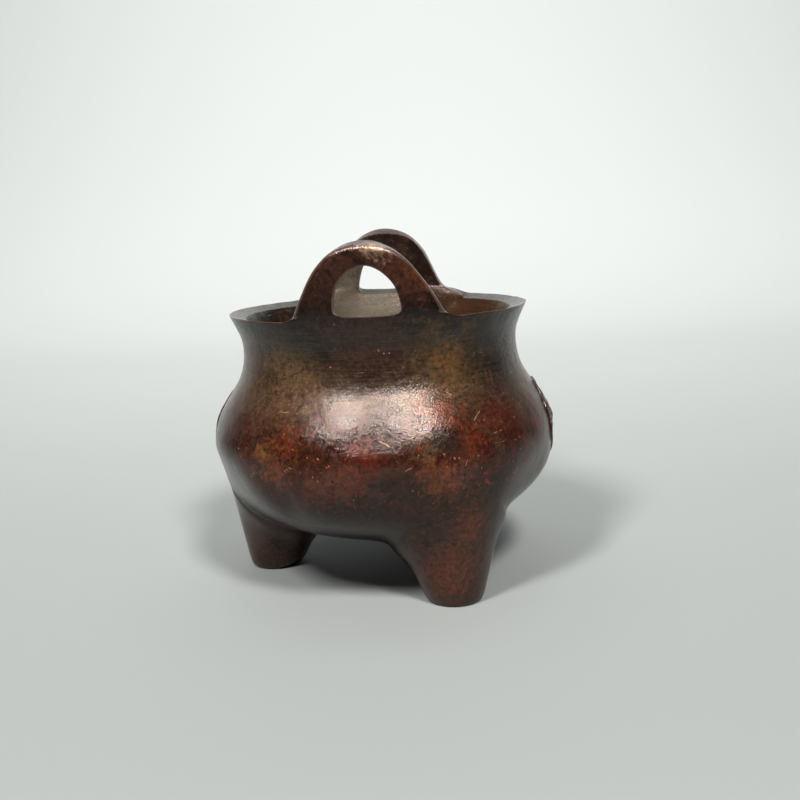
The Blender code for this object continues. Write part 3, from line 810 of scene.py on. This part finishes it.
# Bright scratches and flecks, then dark cracks and pits, each with its two ends and its half width
BRIGHT_MARKS = (
    ((0.0017, -0.0445, 0.0456), (0.0040, -0.0449, 0.0444), 0.00014),
    ((0.0048, -0.0453, 0.0434), (0.0061, -0.0455, 0.0424), 0.00020),
    ((0.0074, -0.0456, 0.0384), (0.0087, -0.0454, 0.0391), 0.00016),
    ((0.0091, -0.0440, 0.0331), (0.0100, -0.0434, 0.0318), 0.00014),
    ((0.0239, -0.0362, 0.0481), (0.0255, -0.0339, 0.0498), 0.00018),
    ((0.0280, -0.0354, 0.0443), (0.0307, -0.0330, 0.0447), 0.00014),
    ((0.0290, -0.0354, 0.0420), (0.0318, -0.0329, 0.0420), 0.00013),
    ((0.0214, -0.0409, 0.0380), (0.0220, -0.0405, 0.0393), 0.00012),
    ((0.0166, -0.0351, 0.0554), (0.0188, -0.0348, 0.0541), 0.00013),
    ((0.0168, -0.0354, 0.0548), (0.0178, -0.0344, 0.0557), 0.00013),
    ((-0.0221, -0.0336, 0.0530), (-0.0167, -0.0362, 0.0536), 0.00012),
    ((-0.0233, -0.0341, 0.0515), (-0.0184, -0.0369, 0.0515), 0.00012),
    ((0.0189, -0.0420, 0.0403), (0.0191, -0.0419, 0.0401), 0.00024),
    ((-0.0134, -0.0438, 0.0418), (-0.0131, -0.0439, 0.0417), 0.00026),
    ((-0.0206, -0.0413, 0.0392), (-0.0204, -0.0414, 0.0390), 0.00024),
    ((-0.0081, -0.0386, 0.0727), (-0.0080, -0.0385, 0.0725), 0.00024),
    ((0.0019, -0.0371, 0.0661), (0.0020, -0.0371, 0.0659), 0.00022),
    ((0.0031, -0.0369, 0.0653), (0.0033, -0.0369, 0.0652), 0.00022),
    ((0.0044, -0.0368, 0.0651), (0.0045, -0.0368, 0.0650), 0.00020),
    ((-0.0100, -0.0357, 0.0623), (-0.0098, -0.0357, 0.0622), 0.00022),
)
DARK_MARKS = (
    ((-0.0159, -0.0335, 0.0619), (-0.0188, -0.0322, 0.0604), 0.00022),
    ((-0.0188, -0.0322, 0.0604), (-0.0222, -0.0303, 0.0588), 0.00016),
    ((-0.0156, -0.0335, 0.0636), (-0.0158, -0.0335, 0.0622), 0.00018),
    ((-0.0040, -0.0368, 0.0634), (-0.0035, -0.0371, 0.0601), 0.00015),
    ((0.0108, -0.0354, 0.0630), (0.0116, -0.0351, 0.0628), 0.00032),
    ((0.0231, -0.0311, 0.0555), (0.0214, -0.0327, 0.0551), 0.00024),
    ((0.0311, -0.0243, 0.0543), (0.0318, -0.0249, 0.0528), 0.00022),
)
TREMOR = 0.0007

# The heights between which the edge colour changes from the lip's bare metal to the handles' paler edges,
# partly worn and partly a painted highlight
ABOVE_LIP = (0.0734, 0.0742)

# A painted pool of light on the lining behind, where light falls on the back of the bowl, at one place
LINING_LIGHT_PLACE = (-0.0100, 0.0360, 0.0700)
LINING_LIGHT_SIZE = 0.0240


def all_marks(tree, vector, marks):
    """The strongest of a list of marks at each point."""
    strongest = 0.0
    for start, end, width in marks:
        shown = use(tree, mark, vector=vector, start=start, end=end, width=width)
        strongest = reckon(tree, "MAXIMUM", strongest, shown)
    return strongest


patina = bpy.data.materials.new("waxed brown patina")
patina.use_nodes = True
tree = patina.node_tree
shader = tree.nodes["Principled BSDF"]
place = put(tree, "TexCoord").outputs["Object"]
sideways, _, height = put(tree, "SeparateXYZ", {0: place}).outputs

# The colours up the vessel, at a level that wanders round it
drift = grained(tree, place, 70.0, 4.0, 0.6)
level = nudged(tree, height, drift, LEVEL_DRIFT)
top = UP_THE_VESSEL[-1][0]
ramp = put(tree, "ValToRGB", {0: reckon(tree, "DIVIDE", level, top)})
stops = ramp.color_ramp.elements
for number, (rise, colour) in enumerate(UP_THE_VESSEL):
    stop = stops[number] if number < 2 else stops.new(rise / top)
    stop.position = rise / top
    stop.color = colour
colour = ramp.outputs[0]

# Clouds of red and dull brown on the belly, dark ones all over, and olive on the shoulder
belly_band = both(tree, step(tree, level, 0.024, 0.034), step(tree, level, 0.054, 0.046))
upper = both(tree, step(tree, level, 0.046, 0.056), step(tree, height, 0.0745, 0.0705))
red = use(tree, clouds, vector=place, scale=170.0, detail=6.0, warp=0.6, low=0.47, high=0.62)
colour = over(tree, both(tree, red, belly_band, 0.65), colour, seen(70, 30, 18))
dull = use(tree, clouds, vector=place, scale=95.0, detail=6.0, warp=0.7, low=0.50, high=0.62)
colour = over(tree, both(tree, dull, belly_band, 0.60), colour, seen(66, 46, 38))
dark = use(tree, clouds, vector=place, scale=230.0, detail=7.0, warp=0.8, low=0.53, high=0.66)
colour = over(tree, both(tree, dark, 0.75), colour, seen(23, 17, 14))
olive = use(tree, clouds, vector=place, scale=120.0, detail=7.0, warp=0.4, low=0.50, high=0.66)
colour = over(tree, both(tree, olive, upper, 0.40), colour, seen(78, 60, 42))

# The patches at known places, with frayed edges, one of them a painted highlight on the front handle's crest
fray = nudged(tree, 0.0, grained(tree, place, 420.0, 8.0, 0.80), 5.5)
for centre, size, tint, strength in PATINA_PATCHES_AND_HIGHLIGHT:
    mask = use(tree, patch, vector=place, fray=fray, centre=centre, size=size)
    colour = over(tree, both(tree, mask, strength), colour, tint)

# Orange specks, a fine mottling, gold flecks and dark pits
orange = use(tree, clouds, vector=place, scale=420.0, detail=6.0, warp=0.5, low=0.60, high=0.70)
colour = over(tree, both(tree, orange, belly_band, 0.55), colour, seen(128, 60, 26))
mottle = grained(tree, place, 900.0, 4.0, 0.7)
mottled = put(tree, "CombineColor", {0: step(tree, mottle, 0.25, 0.75, 0.45, 1.20),
                                     1: step(tree, mottle, 0.25, 0.75, 0.47, 1.17),
                                     2: step(tree, mottle, 0.25, 0.75, 0.50, 1.12)}).outputs[0]
colour = over(tree, 1.0, colour, mottled, mode="MULTIPLY")
gold = use(tree, flecks, vector=place, scale=1700.0, size=0.36, amount=0.045, clouds=150.0)
colour = over(tree, both(tree, gold, belly_band, 0.7), colour, seen(176, 126, 74))
aside = put(tree, "VectorMath", {0: place, 1: (0.31, 0.17, 0.05)}).outputs[0]
pits = use(tree, flecks, vector=aside, scale=900.0, size=0.45, amount=0.09, clouds=90.0)
colour = over(tree, both(tree, pits, 0.85), colour, seen(20, 15, 12))

# The lining: painted shade on the left, browner to the right, dark below, painted shade on the handles' inner
# faces, a painted pool of light at the back, stains and soot
# Painted shade: the left of the lining, where the light does not reach, is painted nearly black, browner to
# the right.
lining = over(tree, step(tree, sideways, -0.018, 0.016), seen(15, 10, 7), seen(50, 31, 20))
lining = over(tree, step(tree, level, 0.066, 0.046), lining, seen(22, 17, 14))
# Painted shade on the handles' inner faces, which lie in shadow.
lining = over(tree, step(tree, height, 0.0735, 0.0790), lining, seen(26, 15, 11))
# Painted light: a pale patch at the back of the lining, where light falls into the bowl; the same patch is
# also made duller below.
painted_light_patch = use(tree, patch, vector=place, fray=both(tree, fray, 0.25), centre=LINING_LIGHT_PLACE, size=LINING_LIGHT_SIZE)
lining = over(tree, painted_light_patch, lining, seen(68, 60, 48))
stained = use(tree, clouds, vector=place, scale=200.0, detail=6.0, warp=0.5, low=0.48, high=0.66)
lining = over(tree, both(tree, stained, 0.45), lining, seen(62, 40, 28))
soot = use(tree, flecks, vector=place, scale=1300.0, size=0.45, amount=0.10, clouds=140.0)
lining = over(tree, both(tree, soot, 0.6), lining, seen(30, 24, 19))
lined = step(tree, nudged(tree, kept_with(tree, "inside"), drift, 0.8), 0.25, 0.85)
colour = over(tree, lined, colour, lining)

# Bare metal on the rubbed edges, coppery on the lip; on the handles a paler colour along the edges, partly
# worn metal and partly a painted highlight
edge_break_up = grained(tree, place, 380.0, 5.0, 0.65)
rubbed_and_lit_edges = step(tree, nudged(tree, kept_with(tree, "arris"), edge_break_up, 0.30), 0.90, 0.96)
bare_metal_and_edge_highlight = over(tree, step(tree, height, *ABOVE_LIP), seen(138, 80, 48), seen(112, 92, 78))
colour = over(tree, both(tree, rubbed_and_lit_edges, step(tree, height, *ABOVE_LIP, 0.70, 0.30)), colour, bare_metal_and_edge_highlight)

# The medallions: dark in the hollows of the relief, browner on its crests, rubbed on the punched ground
raised = kept_with(tree, "chased")
crests = over(tree, step(tree, raised, 0.68, 0.98), seen(30, 22, 18), seen(78, 54, 38))
colour = over(tree, step(tree, raised, 0.10, 0.45, 0.0, 0.85), colour, crests)
sunk = kept_with(tree, "ground")
punch = put(tree, "TexVoronoi", {"Vector": place, "Scale": 1700.0, "Randomness": 0.55}).outputs["Distance"]
dent = step(tree, punch, 0.20, 0.48)
punched = over(tree, dent, seen(64, 46, 32), seen(168, 140, 104))
colour = over(tree, both(tree, step(tree, sunk, 0.15, 0.7), 0.9), colour, punched)

# Fine scratches all over, the marks at known places, slightly unsteady, and brushing on the shoulder
crossed = use(tree, scratches, vector=place, turn=(0.4, 0.9, 0.3), length=0.0035, width=0.00016,
              low=0.70, high=0.80)
nicked = use(tree, scratches, vector=place, turn=(-0.6, -0.7, 1.1), length=0.0030, width=0.00018,
             low=0.71, high=0.81)
scored = reckon(tree, "MAXIMUM", crossed, nicked)
colour = over(tree, both(tree, scored, 0.40), colour, seen(170, 128, 98))
tremor = put(tree, "TexNoise", {"Vector": place, "Scale": 700.0, "Detail": 2.0}).outputs["Color"]
shaken = put(tree, "VectorMath", {0: tremor, 1: (TREMOR,) * 3, 2: place},
             operation="MULTIPLY_ADD").outputs[0]
shaken = put(tree, "VectorMath", {0: shaken, 1: (TREMOR / 2,) * 3}, operation="SUBTRACT").outputs[0]
bright_marks = all_marks(tree, shaken, BRIGHT_MARKS)
dark_marks = all_marks(tree, shaken, DARK_MARKS)
colour = over(tree, both(tree, bright_marks, 0.50), colour, seen(182, 142, 112))
colour = over(tree, both(tree, dark_marks, 0.90), colour, seen(16, 12, 10))
brushed = use(tree, scratches, vector=place, turn=(0.0, 0.0, 0.0), length=0.012, width=0.00030,
              low=0.40, high=0.66)
brushing = both(tree, brushed, upper)
colour = over(tree, both(tree, brushing, 0.10), colour, seen(100, 84, 66))

# Gloss: waxed and smooth outside, duller on the shoulder, the sunk ground and the lining, most of all under
# its painted light patch
rough = step(tree, mottle, 0.3, 0.7, 0.11, 0.25)
rough = reckon(tree, "MULTIPLY_ADD", upper, 0.04, rough)
rough = reckon(tree, "ADD", rough, both(tree, lined, reckon(tree, "MULTIPLY_ADD", painted_light_patch, 0.38, 0.04)))
rough = reckon(tree, "MULTIPLY_ADD", sunk, 0.15, rough, clamp=True)

# Relief of the skin, too fine for the mesh, in millimetres
swell = grained(tree, place, 110.0, 2.0)
dimple = grained(tree, place, 300.0, 3.0)
grain = grained(tree, place, 1900.0, 4.0, 0.6)
holes = reckon(tree, "MAXIMUM", pits, dark_marks)
skin = both(tree, dimple, 0.120)
for share, lift in ((swell, 0.300), (grain, 0.105), (brushing, -0.008), (scored, -0.010),
                    (holes, -0.050), (both(tree, dent, sunk), 0.090)):
    skin = reckon(tree, "MULTIPLY_ADD", share, lift, skin)
bump = put(tree, "Bump", {"Strength": 1.0, "Distance": 0.001, "Height": skin}).outputs[0]

tree.links.new(colour, shader.inputs["Base Color"])
tree.links.new(rough, shader.inputs["Roughness"])
tree.links.new(bump, shader.inputs["Normal"])
shader.inputs["Metallic"].default_value = 0.30
shader.inputs["Specular IOR Level"].default_value = 0.42

casting.data.materials.append(patina)
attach(casting, "root")
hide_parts("censer")


# Studio
# A paper sweep whose colour carries painted light: painted shade on the floor near the vessel, paler with
# painted light towards the back, and a painted shadow, nearly black, in front of the camera's view. Two small
# soft lights stand at the front, a big faint one hangs overhead, and one lights the back of the sweep.
SWEEP_HALF_WIDTH = 2.0
SWEEP_FRONT = -2.0
SWEEP_BACK = 0.45
SWEEP_BEND = 0.45
SWEEP_TOP = 1.6
BEND_STEPS = 24
# The paper's tones are painted light and shade: a painted shadow in front, painted shade on the near floor,
# painted light up the back.
PAINTED_SHADOW_FRONT = (0.030, 0.031, 0.031, 1.0)
PAPER_NEAR_SHADED = (0.172, 0.186, 0.184, 1.0)
PAPER_FAR_LIT = (0.66, 0.69, 0.69, 1.0)

sweep_mesh = bpy.data.meshes.new("paper_sweep")
bm = bmesh.new()
profile = [Vector((0.0, SWEEP_FRONT, 0.0))]
for number in range(BEND_STEPS + 1):
    angle = math.pi / 2 * number / BEND_STEPS
    profile.append(Vector((0.0, SWEEP_BACK + SWEEP_BEND * math.sin(angle),
                           SWEEP_BEND * (1 - math.cos(angle)))))
profile.append(Vector((0.0, SWEEP_BACK + SWEEP_BEND, SWEEP_TOP)))
points = [bm.verts.new(point - Vector((SWEEP_HALF_WIDTH, 0.0, 0.0))) for point in profile]
edges = [bm.edges.new(pair) for pair in zip(points, points[1:])]
grown = bmesh.ops.extrude_edge_only(bm, edges=edges)["geom"]
bmesh.ops.translate(bm, verts=[item for item in grown if isinstance(item, bmesh.types.BMVert)],
                    vec=(2 * SWEEP_HALF_WIDTH, 0.0, 0.0))
for face in bm.faces:
    face.normal_update()
    if face.normal.z < -1e-6 or face.normal.y > 1e-6:
        face.normal_flip()
bm.to_mesh(sweep_mesh)
bm.free()
sweep_mesh.shade_smooth()
sweep = bpy.data.objects.new("paper_sweep", sweep_mesh)
bpy.context.scene.collection.objects.link(sweep)
paper = bpy.data.materials.new("pale grey paper")
paper.use_nodes = True
tree = paper.node_tree
shader = tree.nodes["Principled BSDF"]
depth = put(tree, "SeparateXYZ", {0: put(tree, "TexCoord").outputs["Object"]}).outputs[1]
# Painted shade on the floor brightening to painted light up the back, then a painted shadow across the front.
paper_tone_and_painted_light = over(tree, step(tree, depth, -0.15, 0.75), PAPER_NEAR_SHADED, PAPER_FAR_LIT)
paper_tone_and_painted_light = over(tree, step(tree, depth, -0.20, -0.13), PAINTED_SHADOW_FRONT, paper_tone_and_painted_light)
tree.links.new(paper_tone_and_painted_light, shader.inputs["Base Color"])
shader.inputs["Roughness"].default_value = 0.75
sweep_mesh.materials.append(paper)


def soft_light(name, place, aim, size, power, colour):
    """A flat soft light at a place, turned towards a point."""
    light = bpy.data.lights.new(name, "AREA")
    light.shape = "RECTANGLE"
    light.size, light.size_y = size
    light.energy = power
    light.color = colour
    lamp = bpy.data.objects.new(name, light)
    lamp.location = place
    lamp.rotation_mode = "QUATERNION"
    lamp.rotation_quaternion = (Vector(place) - Vector(aim)).to_track_quat("Z", "Y")
    bpy.context.scene.collection.objects.link(lamp)


middle = (0.0, 0.0, 0.045)
soft_light("key_left", (-0.27, -0.46, 0.66), middle, (0.12, 0.20), 9.4, (1.0, 0.97, 0.93))
soft_light("key_right", (0.20, -0.48, 0.62), middle, (0.12, 0.16), 9.4, (1.0, 0.97, 0.93))
soft_light("overhead", (-0.10, 0.10, 0.85), middle, (0.90, 0.60), 1.6, (1.0, 0.99, 0.97))
soft_light("back_wall", (0.0, 0.25, 1.1), (0.0, 0.9, 0.35), (1.2, 0.3), 4.5, (0.98, 1.0, 1.0))

world = bpy.data.worlds.new("pale_room")
bpy.context.scene.world = world
world.use_nodes = True
background = world.node_tree.nodes["Background"]
background.inputs["Color"].default_value = (0.80, 0.85, 0.84, 1.0)
background.inputs["Strength"].default_value = 0.04

CAMERA_PLACE = Vector((0.0168, -0.26628, 0.09713))
CAMERA_FORWARD = Vector((-0.0442, 0.9817, -0.1854)).normalized()
CAMERA_UP = Vector((0.0389, 0.1872, 0.9816))
camera = bpy.data.objects.new("camera", bpy.data.cameras.new("camera"))
bpy.context.scene.collection.objects.link(camera)
bpy.context.scene.camera = camera
right = CAMERA_FORWARD.cross(CAMERA_UP).normalized()
axes = Matrix((right, right.cross(CAMERA_FORWARD), -CAMERA_FORWARD))
camera.matrix_world = Matrix.Translation(CAMERA_PLACE) @ axes.transposed().to_4x4()
camera.data.sensor_width = 36.0
camera.data.lens = 44.01
camera.data.clip_start = 0.01
bpy.context.scene.view_settings.view_transform = "Standard"

bpy.context.view_layer.update()
